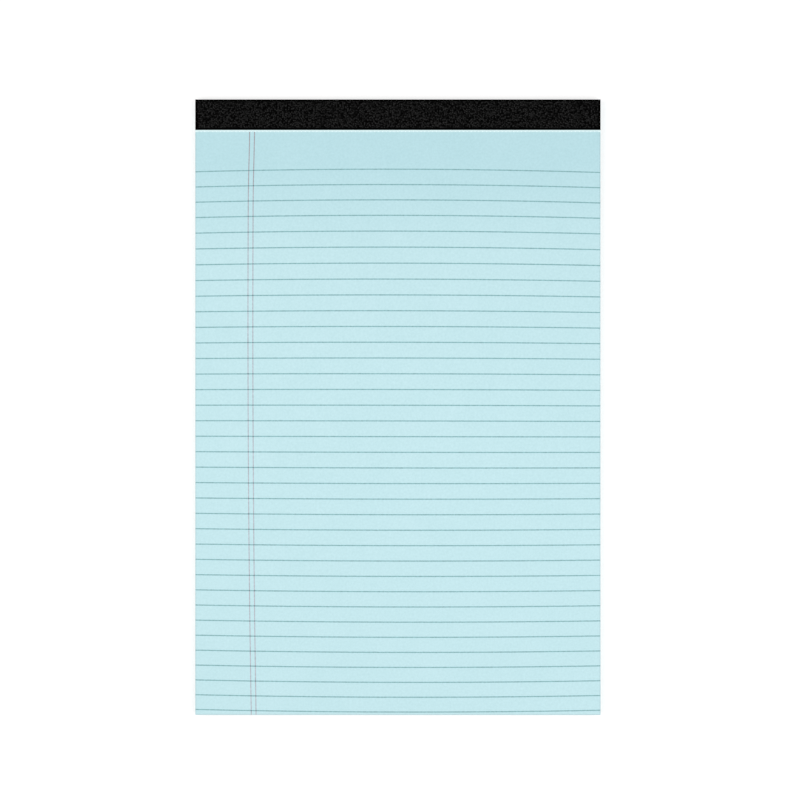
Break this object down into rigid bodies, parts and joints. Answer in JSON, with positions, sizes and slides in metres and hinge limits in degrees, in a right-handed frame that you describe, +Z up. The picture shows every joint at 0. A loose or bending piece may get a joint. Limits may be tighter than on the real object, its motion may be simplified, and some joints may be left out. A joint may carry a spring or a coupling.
{
  "type": "legal pad",
  "caption": "Head-bound pad of pale blue ruled sheets with a double margin line, stapled to a stiff backing board under a black binding tape; the top sheet tears off along a perforation.",
  "frame": {"origin": "middle of the pad's box, on the surface that it lies on", "axes": "+X to the right along the rules, +Y towards the bound head, +Z up out of the written side"},
  "size_m": [0.21, 0.319, 0.006],
  "materials": {
    "sheets": "uncoated pale blue writing paper",
    "board": "grey-brown chipboard",
    "tape": "matt black grained binding tape",
    "staple_wire": "drawn wire",
    "rule_ink": "printed grey-blue ink",
    "margin_ink": "printed mauve-grey ink"
  },
  "bodies": {
    "root": {"sheet_block": "sheets", "backing_board": "board", "binding_tape": "tape", "staples": "staple_wire", "feint_rules": "rule_ink", "margin_rules": "margin_ink"}
  },
  "joints": []
}
